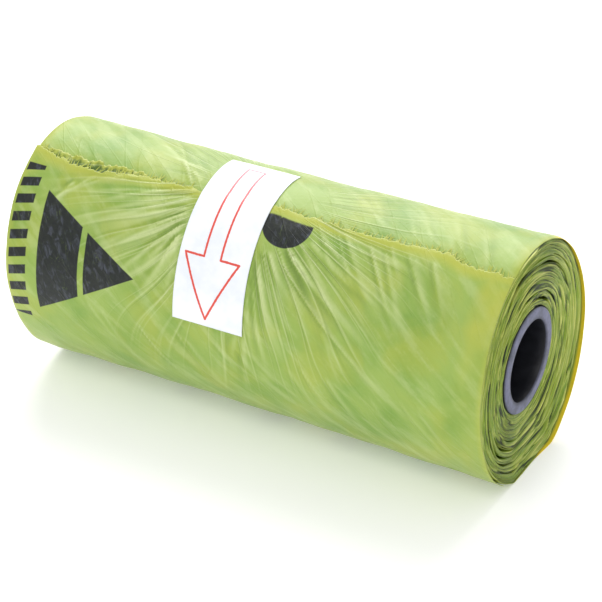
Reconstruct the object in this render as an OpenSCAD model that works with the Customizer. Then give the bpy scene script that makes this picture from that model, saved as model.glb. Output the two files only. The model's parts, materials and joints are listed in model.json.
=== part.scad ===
// A roll of folded waste bags, wound on a hollow core and closed with a stuck label.
//
// The roll lies along X with its origin in the middle of the core's bore. Z is up and the front,
// where the free end of the film lies, faces -Y. Angles are in degrees from the top of the roll,
// growing towards the front and on round underneath.
//
// The film is one strip: a flat tube of film, folded lengthwise and wound as a spiral. A tear line
// divides it into bags. Each bag fills a closed sleeve between two turns of the spiral, and the
// sleeve's faces step by one strip thickness where its tear line lies.

/* [Core] */
// Outside diameter of the core tube
core_od = 12.1; // [9:0.1:20]
// Wall thickness of the core tube
core_wall = 1.35; // [0.8:0.05:2.5]
// How far each end of the core sits inside the end of the roll
core_recess = 0.5; // [0:0.1:3]
// Clearance between the core and the first turn of film
core_gap = 0.05; // [0.03:0.01:0.3]

/* [Bags] */
// Number of bags on the roll
bag_count = 20; // [10:1:24]
// Length of one bag from tear line to tear line
bag_len = 290; // [230:5:350]
// Width of one bag laid flat, before it is folded lengthwise
bag_w = 240; // [192:4:300]
// Number of layers that the width is folded into
fold_layers = 4; // [3:1:6]
// Thickness of one wall of film
film_t = 0.010; // [0.008:0.001:0.020]
// Gap between one bag's sleeve and the next
bag_gap = 0.02; // [0.01:0.005:0.05]
// Depth that the soft roll flattens by where it rests
flat_depth = 0.3; // [0.1:0.05:0.8]

/* [Free end] */
// Angle of the torn edge at the end of the film
torn_edge_a = 20; // [0:5:40]
// Angle over which the free end lifts
lift_span_a = 85; // [60:5:110]
// Room between the lifting end's root and the next layer of film
root_gap = 0.15; // [0.12:0.01:0.4]
// Clearance under the lifting end
seat_gap = 0.03; // [0.02:0.01:0.1]

/* [Label] */
// Width of the label along the roll
label_w = 8.8; // [6:0.1:20]
// Length of the label round the roll
label_len = 23.1; // [16:0.1:30]
// Thickness of the label
label_t = 0.1; // [0.08:0.01:0.2]
// Distance from the middle of the roll to the middle of the label
label_x = -4.0; // [-15:0.5:15]
// Length of the label that reaches past the torn edge on to the turn beneath
label_lap = 8.1; // [5:0.1:10]
// Angle by which the label is stuck askew
label_skew_a = 6; // [-10:0.5:10]
// Clearance under the label
label_gap = 0.04; // [0.02:0.01:0.1]

/* [Hidden] */
step_a = 5;
steps = 360 / step_a;
walls_in_bag = 2;
strip_t = film_t * walls_in_bag * fold_layers;
roll_w = bag_w / fold_layers;
core_len = roll_w - 2 * core_recess;
bore_d = core_od - 2 * core_wall;
first_r = core_od / 2 + core_gap;
core_fn = 96;
cut = 1;

// The whole strip's turns, and the turns of it that stay wound when the free end lifts.
all_turns = turns_at(bag_count * bag_len);
wound_turns = all_turns - lift_span_a / 360;
outer_r = first_r + strip_t * wound_turns;
root_a = torn_edge_a + lift_span_a;

// The label's inner face clears the free end's outer face at the torn edge.
free_end_top_r = first_r + strip_t * (all_turns + 1) + seat_gap;
label_r = free_end_top_r + label_gap;
label_top_a = torn_edge_a - arc_a(label_lap, label_r);
label_low_a = label_top_a + arc_a(label_len, label_r);

film_colour = "#a6bf58";
core_colour = "#4a4a5c";
label_colour = "#f4f6f8";

function two_digits(i) = i < 10 ? str("0", i) : str(i);
function bag_name(i) = str("bag_", two_digits(i));

// Turns that a length of strip makes, from a spiral that grows by one strip thickness a turn.
function turns_at(len) = (sqrt(pow(first_r, 2) + strip_t * len / PI) - first_r) / strip_t;

// Angle that an arc of a given length takes at radius r.
function arc_a(len, r) = len / r * 180 / PI;

// Point of the roll's cross-section at radius r and angle a, as [y, z].
function at(r, a) = [-r * sin(a), r * cos(a)];

// Angle at which the strip lies after so many turns.
function turn_a(turns) = torn_edge_a + 360 * (all_turns - turns);

// Depth of the resting flat in a layer that starts at radius r: none at the core, all outside.
function flat_at(r) = flat_depth * (r - first_r) / (outer_r - first_r);

// A radius held back where the layer lies flat, below the axis.
function rested(r, base_r, a) =
    cos(a) < 0 ? min(r, (base_r - flat_at(base_r)) / -cos(a)) : r;

// The closed outline of one turn of the spiral that starts after so many turns. It ends one
// strip thickness further out than it starts, so its last edge is the radial step. The inset
// draws it back all round, and along the strip at the step.
function turn_outline(turns, inset) = [
    for (i = [0 : steps])
        let (
            base_r = first_r + strip_t * turns - inset,
            a = turn_a(turns) + arc_a(inset, base_r) - i * step_a,
            r = base_r + strip_t * i / steps
        )
        at(rested(r, base_r, a), a)
];

// Extrudes a cross-section along the roll, centred on its middle.
module along_roll(len) {
    rotate([90, 0, 90])
        linear_extrude(height = len, center = true)
            children();
}

// One bag's sleeve, between the turns of film where it starts and ends.
module bag_sleeve(turns_in, turns_out) {
    along_roll(roll_w)
        difference() {
            polygon(turn_outline(turns_out, bag_gap / 2));
            polygon(turn_outline(turns_in, -bag_gap / 2));
        }
}

module core_tube() {
    color(core_colour)
        rotate([0, 90, 0])
            difference() {
                cylinder(h = core_len, d = core_od, center = true, $fn = core_fn);
                cylinder(h = core_len + 2 * cut, d = bore_d, center = true, $fn = core_fn);
            }
}

// Bag i, counted from the outside of the roll. The first one ends at the free end's root.
module bag(i) {
    turns_in = turns_at((bag_count - i) * bag_len);
    turns_out = i == 1 ? wound_turns : turns_at((bag_count - i + 1) * bag_len);
    color(film_colour)
        bag_sleeve(turns_in, turns_out);
}

// The stretch of the first bag from its torn edge to the line where it lifts. It seats on the turn
// below, and its root stands off from the next layer by more than its own thickness.
module bag_01_free_end() {
    parts = lift_span_a / step_a;
    root_trim_a = arc_a(root_gap, outer_r);
    inner = [
        for (i = [0 : parts])
            let (a = root_a - max(i * step_a, root_trim_a))
            at(first_r + strip_t * (wound_turns + i / steps) + seat_gap, a)
    ];
    outer = [
        for (i = [parts : -1 : 0])
            let (a = root_a - max(i * step_a, root_trim_a))
            at(first_r + strip_t * (wound_turns + i / steps + 1) + seat_gap, a)
    ];
    color(film_colour)
        along_roll(roll_w)
            polygon(concat(inner, outer));
}

// The label bridges the torn edge. Its long sides are cut askew by a slanted prism.
module closing_label() {
    parts = ceil((label_low_a - label_top_a) / step_a);
    part_a = (label_low_a - label_top_a) / parts;
    inner = [for (i = [0 : parts]) at(label_r, label_top_a + i * part_a)];
    outer = [for (i = [parts : -1 : 0]) at(label_r + label_t, label_top_a + i * part_a)];
    front_y = -label_r - 2 * cut;
    back_y = label_r;
    mid_y = -label_r * sin((label_top_a + label_low_a) / 2);
    front_x = tan(label_skew_a) * (mid_y - front_y);
    back_x = tan(label_skew_a) * (mid_y - back_y);
    color(label_colour)
        intersection() {
            along_roll(roll_w)
                polygon(concat(inner, outer));
            translate([label_x, 0, 0])
                linear_extrude(height = 4 * label_r, center = true)
                    polygon([
                        [front_x - label_w / 2, front_y],
                        [front_x + label_w / 2, front_y],
                        [back_x + label_w / 2, back_y],
                        [back_x - label_w / 2, back_y]
                    ]);
        }
}

core_tube();
bag_01_free_end();
closing_label();
for (i = [1 : bag_count])
    bag(i);
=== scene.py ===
# %% [markdown]
# # A roll of folded bags on a hollow core
#
# The object is one long strip of thin film, folded lengthwise and wound round a plastic core, with a
# small paper label that keeps its torn end down. The frame that is loaded here holds the true sizes
# and the joints. Every piece made below stands in the place of one of its parts, at the same size.

# %% Load the frame
import json
import math
import random

import bpy
import numpy as np
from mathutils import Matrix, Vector


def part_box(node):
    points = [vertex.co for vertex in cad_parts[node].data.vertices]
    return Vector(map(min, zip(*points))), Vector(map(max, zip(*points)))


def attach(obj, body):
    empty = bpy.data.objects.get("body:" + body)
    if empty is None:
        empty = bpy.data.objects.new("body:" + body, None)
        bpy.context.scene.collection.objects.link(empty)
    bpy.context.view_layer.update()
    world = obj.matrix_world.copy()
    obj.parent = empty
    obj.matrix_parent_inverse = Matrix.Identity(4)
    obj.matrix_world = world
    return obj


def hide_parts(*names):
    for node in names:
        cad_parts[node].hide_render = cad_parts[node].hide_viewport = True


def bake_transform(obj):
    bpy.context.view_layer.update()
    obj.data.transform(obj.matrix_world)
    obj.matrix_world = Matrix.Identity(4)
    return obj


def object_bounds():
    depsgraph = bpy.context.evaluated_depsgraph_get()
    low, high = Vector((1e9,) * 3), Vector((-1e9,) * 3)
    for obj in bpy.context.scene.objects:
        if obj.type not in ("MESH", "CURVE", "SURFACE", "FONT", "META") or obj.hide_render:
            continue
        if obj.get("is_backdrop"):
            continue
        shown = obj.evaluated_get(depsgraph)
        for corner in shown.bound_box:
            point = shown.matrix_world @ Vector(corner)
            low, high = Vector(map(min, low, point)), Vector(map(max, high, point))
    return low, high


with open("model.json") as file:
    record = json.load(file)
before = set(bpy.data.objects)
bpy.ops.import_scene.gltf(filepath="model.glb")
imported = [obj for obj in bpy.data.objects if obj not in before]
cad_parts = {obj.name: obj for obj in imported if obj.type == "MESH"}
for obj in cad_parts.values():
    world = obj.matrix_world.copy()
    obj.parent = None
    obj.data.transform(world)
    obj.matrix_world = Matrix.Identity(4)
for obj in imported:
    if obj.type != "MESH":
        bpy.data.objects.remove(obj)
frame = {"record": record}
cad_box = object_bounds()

MM = 0.001
record = frame["record"]

# %% [markdown]
# ## Sizes
#
# A roll is easiest to describe as it is made: by turns. A place on it is a distance along the roll,
# x, and an angle from the top, growing towards the front. Lengths below are in millimetres, which
# suit a thing this small, and only the finished points are turned into metres.

# %% Read the driving sizes from the frame
joints = {joint["name"]: joint for joint in record["behaviour"]["joints"]}
mounts = {mount["name"]: mount for mount in record["mounts"]}


def joint_place(name):
    """(angle in degrees from the top, radius in mm) of a joint's axis."""
    y, z = joints[name]["pos_m"][1:]
    return math.degrees(math.atan2(-y, z)), math.hypot(y, z) / MM


strip_t = 0.08       # eight walls of film, each 0.010 mm
bag_len = 290.0      # one bag, from tear line to tear line
core_gap = 0.05      # between the core and the first turn

roll_low, roll_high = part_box("bag_01")
core_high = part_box("core_tube")[1]
end_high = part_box("bag_01_free_end")[1]
label_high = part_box("closing_label")[1]

half_len = roll_high.x / MM
core_r = core_high.z / MM
core_half = core_high.x / MM
bore_r = mounts["core_bore"]["dims"]["r_mm"]
first_r = core_r + core_gap
peel_a, peel_r = joint_place("label_peel")
torn_a = math.degrees(math.atan2(-end_high.y, end_high.z))
label_top_a = -math.degrees(math.asin(label_high.y / MM / peel_r))
bag_names = sorted(record["behaviour"]["bodies"]["roll"])


def turns_at(length):
    """Turns that a length of strip makes, from a spiral that grows by strip_t a turn."""
    return (math.sqrt(first_r**2 + strip_t * length / math.pi) - first_r) / strip_t


all_turns = turns_at(bag_len * len(bag_names))
outer_r = first_r + strip_t * (all_turns + 1)


def arc_mm(a):
    """Length in mm round the roll's outside, from its top to angle a."""
    return a * (math.pi / 180 * outer_r)


print(f"{len(bag_names)} bags, {all_turns:.1f} turns, radius {outer_r:.2f} mm")

# %% [markdown]
# ## Camera
#
# A long lens a quarter of a metre away shows a small thing without much perspective. The camera
# stands in front, above it and past the right-hand end, so that the wound layers show.

# %% Camera
CAMERA_AZIMUTH = 29.24
CAMERA_ELEVATION = 31.0
CAMERA_DISTANCE = 256.3    # from the target, in mm
CAMERA_LENS = 135.05
CAMERA_TARGET = (1.2, 0.1, -0.8)


def point(x, y, z):
    """A place in millimetres as a vector in metres."""
    return Vector((x, y, z)) * MM


def direction_from(azimuth, elevation):
    """The direction from the target to a lamp or camera. Azimuth 0 is in front, 90 at +X."""
    turn, rise = math.radians(azimuth), math.radians(elevation)
    return Vector((math.sin(turn) * math.cos(rise), -math.cos(turn) * math.cos(rise), math.sin(rise)))


def aim(thing, place, target):
    """Puts a camera or lamp at a place and points it at the target."""
    thing.location = place
    thing.rotation_euler = (target - place).to_track_quat("-Z", "Y").to_euler()


camera = bpy.data.objects.new("camera", bpy.data.cameras.new("camera"))
camera.data.lens = CAMERA_LENS
camera.data.sensor_width = 36.0
camera.data.clip_start = 0.01
target = point(*CAMERA_TARGET)
aim(camera, target + direction_from(CAMERA_AZIMUTH, CAMERA_ELEVATION) * CAMERA_DISTANCE * MM, target)
bpy.context.scene.collection.objects.link(camera)
bpy.context.scene.camera = camera
print("camera at", [round(c, 3) for c in camera.location])

# %% [markdown]
# ## Arithmetic in node trees
#
# Both Geometry Nodes and materials do their sums in Math nodes, which are hard to read one by one.
# A small wrapper lets a formula be written as a formula: each operation on a Value adds one node.

# %% A value that writes its own nodes
class Value:
    """A number in a node tree. Arithmetic on it adds Math nodes and gives a new Value."""

    def __init__(self, tree, socket):
        self.tree = tree
        self.socket = socket

    def math(self, operation, *others, first=None):
        """One Math node on this value and others, or on a number that comes first."""
        made = self.tree.nodes.new("ShaderNodeMath")
        made.operation = operation
        terms = [self, *others] if first is None else [first, self]
        for socket, term in zip(made.inputs, terms):
            feed(self.tree, term, socket)
        return Value(self.tree, made.outputs[0])

    def __add__(self, other):
        return self.math("ADD", other)

    def __sub__(self, other):
        return self.math("SUBTRACT", other)

    def __mul__(self, other):
        return self.math("MULTIPLY", other)

    def __truediv__(self, other):
        return self.math("DIVIDE", other)

    def __rsub__(self, other):
        return self.math("SUBTRACT", first=other)

    def __rtruediv__(self, other):
        return self.math("DIVIDE", first=other)

    __radd__ = __add__
    __rmul__ = __mul__

    def sin(self):
        return self.math("SINE")

    def cos(self):
        return self.math("COSINE")

    def size(self):
        return self.math("ABSOLUTE")

    def power(self, exponent):
        return self.math("POWER", exponent)

    def least(self, other):
        return self.math("MINIMUM", other)

    def most(self, other):
        return self.math("MAXIMUM", other)

    def clamped(self):
        return self.most(0.0).least(1.0)

    def step(self, low, high):
        """0 below low, 1 above high and smooth between them."""
        made = self.tree.nodes.new("ShaderNodeMapRange")
        made.interpolation_type = "SMOOTHSTEP"
        feed(self.tree, self, made.inputs["Value"])
        for name, limit in (("From Min", low), ("From Max", high)):
            feed(self.tree, limit, made.inputs[name])
        return Value(self.tree, made.outputs["Result"])


def feed(tree, term, socket):
    """Sets a socket to a number, or links a Value or a socket to it."""
    if isinstance(term, (int, float)):
        socket.default_value = term
    else:
        tree.links.new(getattr(term, "socket", term), socket)


def vector(tree, x, y, z):
    """A vector socket from three numbers, Values or sockets."""
    made = tree.nodes.new("ShaderNodeCombineXYZ")
    for socket, term in zip(made.inputs, (x, y, z)):
        feed(tree, term, socket)
    return made.outputs[0]


def grain(tree, where, scale, detail=2.0, rough=0.5, warp=0.0):
    """Noise from 0 to 1 at a place, as a Value."""
    made = tree.nodes.new("ShaderNodeTexNoise")
    tree.links.new(where, made.inputs["Vector"])
    made.inputs["Scale"].default_value = scale
    made.inputs["Detail"].default_value = detail
    made.inputs["Roughness"].default_value = rough
    made.inputs["Distortion"].default_value = warp
    return Value(tree, made.outputs["Fac"])


print("node arithmetic is ready")

# %% [markdown]
# ## Shader groups: film tone, fine wrinkles, cracked ink and pulled rays
#
# Thin film is never one green. Where more walls lie on each other it is deeper, where they part it is
# paler, and every fold leaves a streak. Each such effect is a group of its own: it takes a place on
# the strip, in millimetres, and gives masks or a height that the finishes mix.

# %% A helper that opens a shader group
def new_group(kind, name, inputs, outputs):
    """A node group with float or vector sockets. Returns (tree, input node, output node)."""
    tree = bpy.data.node_groups.new(name, kind)
    for in_out, sockets in (("INPUT", inputs), ("OUTPUT", outputs)):
        for label, socket_type, default in sockets:
            made = tree.interface.new_socket(name=label, in_out=in_out, socket_type=socket_type)
            if default is not None:
                made.default_value = default
    return tree, tree.nodes.new("NodeGroupInput"), tree.nodes.new("NodeGroupOutput")


def along_streaks(tree, where, lean, stretch):
    """Turns a place by lean degrees and squeezes it, so that noise drawn there becomes streaks."""
    made = tree.nodes.new("ShaderNodeMapping")
    made.vector_type = "TEXTURE"          # this kind turns first and then squeezes
    made.inputs["Rotation"].default_value = (0.0, 0.0, math.radians(lean))
    made.inputs["Scale"].default_value = (1.0, 1.0 / stretch, 1.0)
    tree.links.new(where, made.inputs["Vector"])
    return made.outputs[0]


# %% The film tone group
def film_tone_group():
    """Soft masks over the film: Depth where walls lie close, Yellow where they are few, Streak."""
    tree, given, result = new_group(
        "ShaderNodeTree", "Film tone",
        [("Place", "NodeSocketVector", None)],
        [(name, "NodeSocketFloat", None) for name in ("Depth", "Yellow", "Streak")],
    )
    place = given.outputs["Place"]
    slanted = along_streaks(tree, place, -32.0, 0.55)
    broad = grain(tree, place, 0.11, 2.0, 0.5, 0.4)
    patch = grain(tree, slanted, 0.34, 3.0, 0.5, 0.2)
    mottle = grain(tree, place, 1.9, 4.0, 0.65)
    depth = (broad * 0.5 + patch * 0.42 + mottle * 0.08).step(0.40, 0.64)
    thin = grain(tree, place, 0.15, 2.0, 0.5, 0.5)
    yellow = (thin * 0.6 + patch * 0.32 + mottle * 0.08).step(0.44, 0.64)
    long_streak = grain(tree, along_streaks(tree, place, -50.0, 0.16), 0.8, 3.0, 0.5, 0.2)
    streak = (long_streak * 0.8 + mottle * 0.2).step(0.46, 0.68)
    for name, value in (("Depth", depth), ("Yellow", yellow), ("Streak", streak)):
        tree.links.new(value.socket, result.inputs[name])
    return tree


# %% The fine wrinkle group
def wrinkle_group():
    """Height of the fine wrinkles that thin film keeps: long ones along the lean and short crackle."""
    tree, given, result = new_group(
        "ShaderNodeTree", "Fine wrinkles",
        [("Place", "NodeSocketVector", None), ("Crackle", "NodeSocketFloat", 0.3)],
        [("Height", "NodeSocketFloat", None)],
    )
    place = given.outputs["Place"]
    ridges = []
    for lean, scale, share in ((-33.0, 0.42, 0.50), (-52.0, 0.6, 0.30), (4.0, 0.5, 0.20)):
        wave = grain(tree, along_streaks(tree, place, lean, 0.09), scale, 0.0)
        ridge = 1.0 - ((wave - 0.5).size() * 22.0).clamped()
        ridges.append(ridge * ridge * share)
    crackle = grain(tree, place, 1.6, 3.0, 0.55) * Value(tree, given.outputs["Crackle"])
    height = ridges[0] + ridges[1] + ridges[2] + crackle
    tree.links.new(height.socket, result.inputs["Height"])
    return tree


# %% The cracked ink group
def ink_wear_group():
    """Turns a crisp print mask into ink on creased film: thin pale cracks and slightly eaten edges."""
    tree, given, result = new_group(
        "ShaderNodeTree", "Ink wear",
        [("Place", "NodeSocketVector", None), ("Print", "NodeSocketFloat", 0.0)],
        [("Ink", "NodeSocketFloat", None)],
    )
    place = given.outputs["Place"]
    fold = grain(tree, along_streaks(tree, place, -20.0, 0.3), 1.5, 2.0, 0.5, 0.5)
    crack = 1.0 - ((fold - 0.5).size() * 60.0).clamped()
    rubbed = grain(tree, place, 0.5, 2.0).step(0.45, 0.7)
    worn = (crack * rubbed * 0.18 + grain(tree, place, 2.0, 3.0) * 0.05).clamped()
    ink = Value(tree, given.outputs["Print"]) * (1.0 - worn)
    tree.links.new(ink.socket, result.inputs["Ink"])
    return tree


# %% The pulled ray group
def pull_rays_group():
    """Fine rays that run away from one place, as where a label pulls the film: 1 on ridges, below 0
    in the valleys beside them."""
    tree, given, result = new_group(
        "ShaderNodeTree", "Pull rays",
        [("Place", "NodeSocketVector", None), ("Across", "NodeSocketFloat", 0.0),
         ("Around", "NodeSocketFloat", 0.0), ("Start", "NodeSocketFloat", 5.0),
         ("Reach", "NodeSocketFloat", 25.0)],
        [("Light", "NodeSocketFloat", None)],
    )
    split = tree.nodes.new("ShaderNodeSeparateXYZ")
    tree.links.new(given.outputs["Place"], split.inputs[0])
    x = Value(tree, split.outputs[0]) - Value(tree, given.outputs["Across"])
    s = Value(tree, split.outputs[1]) - Value(tree, given.outputs["Around"])
    away = (x * x + s * s).power(0.5)
    heading = s.math("ARCTAN2", x) + (grain(tree, given.outputs["Place"], 0.07, 0.0) - 0.5) * 0.2
    start, reach = Value(tree, given.outputs["Start"]), Value(tree, given.outputs["Reach"])
    fade = away.step(start * 0.7, start * 1.3) * (1.0 - away.step(start, reach))
    waves = []
    for count, drift, share in ((6.0, 0.012, 0.6), (12.0, 0.02, 0.4)):
        rays = grain(tree, vector(tree, heading * count, away * drift, count), 1.0, 0.0)
        ridge = (1.0 - (rays - 0.5).size() * 22.0).clamped()
        line = (1.0 - (rays - 0.46).size() * 26.0).clamped()
        waves.append((ridge * ridge - line * 0.5) * share)
    light = (waves[0] + waves[1]) * fade
    tree.links.new(light.socket, result.inputs["Light"])
    return tree


# %% Make the groups
film_tone = film_tone_group()
wrinkles = wrinkle_group()
ink_wear = ink_wear_group()
pull_rays = pull_rays_group()
print("shader groups:", [group.name for group in (film_tone, wrinkles, ink_wear, pull_rays)])

# %% [markdown]
# ## Finishes
#
# All film shares one recipe: a pale green that leans to yellow where it is single and to a cooler
# green where it is deep, a soft gloss, and a bump from the wrinkles. Every film piece carries its
# place on the strip as an attribute, so the pattern follows the film round the roll and bends with
# it. The prints are written as shapes: a mask is the smallest of a few distances, so its edge stays
# crisp at any size.

# %% Helpers for finishes
def linear(hex_colour):
    """A colour from its hex code, as the shader wants it."""
    channels = [int(hex_colour[i:i + 2], 16) / 255 for i in (1, 3, 5)]
    low, gain = 0.04045, 12.92
    return [*(c / gain if c <= low else ((c + 0.055) / 1.055) ** 2.4 for c in channels), 1.0]


def new_finish(name, **sockets):
    """A material with a Principled shader. Keywords set sockets, with _ for a space."""
    finish = bpy.data.materials.new(name)
    finish.use_nodes = True
    shader = finish.node_tree.nodes["Principled BSDF"]
    for label, value in sockets.items():
        shader.inputs[label.replace("_", " ")].default_value = value
    return finish, finish.node_tree, shader


def attribute(tree, name, output="Vector"):
    """The socket of an attribute that the mesh carries."""
    made = tree.nodes.new("ShaderNodeAttribute")
    made.attribute_name = name
    return made.outputs[output]


def carried(tree, name):
    """A number that the mesh carries at each point, as a Value."""
    return Value(tree, attribute(tree, name, "Fac"))


def grouped(tree, group, **inputs):
    """A node that runs a shader group, with its inputs set or linked."""
    made = tree.nodes.new("ShaderNodeGroup")
    made.node_tree = group
    for label, term in inputs.items():
        feed(tree, term, made.inputs[label])
    return made


def blended(tree, share, low, high):
    """A colour between two: share 0 gives low and 1 gives high."""
    made = tree.nodes.new("ShaderNodeMix")
    made.data_type = "RGBA"
    feed(tree, share, made.inputs["Factor"])
    for socket, term in ((made.inputs[6], low), (made.inputs[7], high)):
        if isinstance(term, list):
            socket.default_value = term
        else:
            tree.links.new(term, socket)
    return made.outputs[2]


def bump(tree, shader, height, distance, strength=1.0):
    """Links a height from 0 to 1 to the shader as a bump, whose distance is in mm."""
    made = tree.nodes.new("ShaderNodeBump")
    made.inputs["Distance"].default_value = distance * MM
    made.inputs["Strength"].default_value = strength
    feed(tree, height, made.inputs["Height"])
    tree.links.new(made.outputs[0], shader.inputs["Normal"])


# %% The prints on the film
TRIANGLE_BASE_X, TRIANGLE_TIP_X = -26.5, -13.6
TRIANGLE_TOP_A, TRIANGLE_TIP_A, TRIANGLE_LOW_A = 40.3, 70.2, 99.4
STRIPE_X, STRIPE_W = -20.6, 0.75
DISC_X, DISC_A, DISC_R = 3.1, 24.5, 3.05   # the disc's upper part is torn away
BARS_X, BARS_W = -29.15, 2.3
BARS_FROM_A, BARS_TO_A, BAR_PITCH, BAR_LEAN = 29.0, 107.0, 2.05, 0.25
BAR_HALF = 0.27        # half a bar's width as a share of the pitch
INK_EDGE = 0.06        # softness of a print's edge in mm


def film_print(tree):
    """Mask of the black marks: a solid triangle with a bare stripe, a disc and a row of bars."""
    split = tree.nodes.new("ShaderNodeSeparateXYZ")
    tree.links.new(attribute(tree, "strip_mm"), split.inputs[0])
    x, s = Value(tree, split.outputs[0]), Value(tree, split.outputs[1])
    tip_s = arc_mm(TRIANGLE_TIP_A)
    height = TRIANGLE_TIP_X - TRIANGLE_BASE_X
    inside = x - TRIANGLE_BASE_X
    for corner_a, side in ((TRIANGLE_TOP_A, 1.0), (TRIANGLE_LOW_A, -1.0)):
        slope = abs(arc_mm(corner_a) - tip_s) / height
        edge = (s - tip_s) * side + (TRIANGLE_TIP_X - x) * slope
        inside = inside.least(edge * (1.0 / math.hypot(1.0, slope)))
    inside = inside.least((x - STRIPE_X).size() - STRIPE_W / 2)
    disc_x, disc_s = x - DISC_X, s - arc_mm(DISC_A)
    disc = DISC_R - (disc_x * disc_x + disc_s * disc_s).power(0.5)
    lean = s + (x - BARS_X) * BAR_LEAN
    wave = (lean * (1.0 / BAR_PITCH)).math("FRACT")
    bar = BAR_HALF * BAR_PITCH - (wave - 0.5).size() * BAR_PITCH
    bar = bar.least(BARS_W / 2 - (x - BARS_X).size())
    bar = bar.least(s - arc_mm(BARS_FROM_A)).least(arc_mm(BARS_TO_A) - s)
    return inside.most(disc).most(bar).step(-INK_EDGE, INK_EDGE)


print("triangle", round(TRIANGLE_TIP_X - TRIANGLE_BASE_X, 1), "mm long, disc", 2 * DISC_R, "mm across")

# %% The film's colours
FILM_GREEN = "#95ae52"
FILM_DEEP = "#7a9d40"
# a paler tone for streaks, also used as painted highlight on crease ridges and rays
FILM_PALE_AND_HIGHLIGHT = "#c4d192"
FILM_YELLOW = "#b2b748"
# painted shade in crease and ray valleys and under the free end's edge
PAINTED_SHADE_GREEN = "#6f8a36"
# painted light at the film's edge where light would shine through
FILM_LIT = "#f2d838"
# painted shadow in the gap under the torn edge
TEAR_DARK = "#3f5c0e"
INK = "#12141d"
# painted glint on the ink's crinkles
INK_PAINTED_GLINT = "#424554"
WOUND_GREEN = "#8fac2f"
WOUND_DEEP = "#688c26"
# painted highlight on the crests of the wound ends
CREST_PAINTED_HIGHLIGHT = "#d7db7a"
# painted shade in the grooves of the wound ends
GROOVE_PAINTED_SHADE = "#1a2b08"
FILM_COAT = 0.12       # weight of the gloss on top


def film_colour(tree, place, layered):
    """The film's own green, blotchy and streaked."""
    tone = grouped(tree, film_tone, Place=place)
    depth, yellow, streak = (Value(tree, tone.outputs[n]) for n in ("Depth", "Yellow", "Streak"))
    greens = (WOUND_GREEN, WOUND_DEEP) if layered else (FILM_GREEN, FILM_DEEP)
    colour = blended(tree, depth.socket, *(linear(green) for green in greens))
    colour = blended(tree, (yellow * (0.65 if layered else 0.45)).socket, colour, linear(FILM_YELLOW))
    return blended(tree, (streak * 0.3).socket, colour, linear(FILM_PALE_AND_HIGHLIGHT))


# %% What a piece carries, as tints on its film
def with_bundles(tree, colour):
    """Painted highlight on the crests and painted shade in the grooves, where the wound turns lie in
    bundles.
    """
    crest = carried(tree, "crest")
    colour = blended(tree, ((crest - 0.5) * 2.0).clamped().socket, colour, linear(CREST_PAINTED_HIGHLIGHT))
    return blended(tree, ((0.5 - crest) * 2.0).clamped().socket, colour, linear(GROOVE_PAINTED_SHADE))


def with_folds(tree, colour):
    """Painted highlight on crease ridges and painted shade in their valleys, yellow rims, painted
    light at the lit edge and painted shade under the tear, all from a sheet's attributes.
    """
    # painted highlight on ridges and painted shade in valleys, from the fold mark
    fold = carried(tree, "fold")
    for share, tint in (
        (fold, FILM_PALE_AND_HIGHLIGHT),
        (fold * -0.8, PAINTED_SHADE_GREEN),
        (carried(tree, "rim") * 0.8, FILM_YELLOW),
        (carried(tree, "lit"), FILM_LIT),
        (carried(tree, "shade"), TEAR_DARK),
    ):
        colour = blended(tree, share.clamped().socket, colour, linear(tint))
    return colour


# %% Pulled rays and ink on the film
def ray_light(tree, place, printed):
    """The fine rays that the label pulls, as a value used for bump, painted highlight and painted shade.
    On the plain film they fade below the tear.
    """
    rays = grouped(tree, pull_rays, Place=place, Across=-1.5, Around=2.5, Start=8.0, Reach=30.0)
    light = Value(tree, rays.outputs["Light"])
    if printed:
        return light
    split = tree.nodes.new("ShaderNodeSeparateXYZ")
    tree.links.new(place, split.inputs[0])
    return light * (1.0 - Value(tree, split.outputs[1]).step(1.0, 7.0) * 0.8)


def with_ink(tree, shader, place, colour):
    """The black marks. Ink dulls the film's gloss, and it is worn off where the film tore. Paler
    blotches on it are a painted glint where its crinkles would catch light.
    """
    inked = film_print(tree) * (1.0 - carried(tree, "bare").step(0.0, 0.25))
    ink = grouped(tree, ink_wear, Place=place, Print=inked).outputs["Ink"]
    # painted glint: paler blotches on the ink where its crinkles would catch light
    ink_glint = grain(tree, along_streaks(tree, place, -20.0, 0.45), 1.5, 3.0, 0.6, 0.6).step(0.5, 0.72)
    ink_tone = blended(tree, (ink_glint * 0.85).socket, linear(INK), linear(INK_PAINTED_GLINT))
    feed(tree, FILM_COAT - Value(tree, ink) * 0.1, shader.inputs["Coat Weight"])
    return blended(tree, ink, colour, ink_tone)


# %% The film finish
def film_finish(name, printed, layered):
    """The film. printed adds the black marks, and layered deepens it for the wound ends."""
    finish, tree, shader = new_finish(
        name, Roughness=0.42, IOR=1.5, Specular_IOR_Level=0.32,
        Coat_Weight=FILM_COAT, Coat_Roughness=0.3,
    )
    place = attribute(tree, "strip_mm")
    colour = film_colour(tree, place, layered)
    height = Value(tree, grouped(tree, wrinkles, Place=place, Crackle=0.5).outputs["Height"])
    if layered:
        colour = with_bundles(tree, colour)
    else:
        colour = with_folds(tree, colour)
        light = ray_light(tree, place, printed)
        # painted highlight on the ray ridges and painted shade in the valleys beside them
        colour = blended(tree, (light * 1.5).clamped().socket, colour, linear(FILM_PALE_AND_HIGHLIGHT))
        colour = blended(tree, (light * -1.6).clamped().socket, colour, linear(PAINTED_SHADE_GREEN))
        height = height + light * 1.5
    if printed:
        colour = with_ink(tree, shader, place, colour)
    tree.links.new(colour, shader.inputs["Base Color"])
    bump(tree, shader, height, 0.05 if layered else 0.06, 0.8)
    return finish


outer_film = film_finish("film_printed", printed=True, layered=False)
plain_film = film_finish("film_plain", printed=False, layered=False)
wound_film = film_finish("film_wound", printed=False, layered=True)
print("film finishes:", outer_film.name, plain_film.name, wound_film.name)

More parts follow.
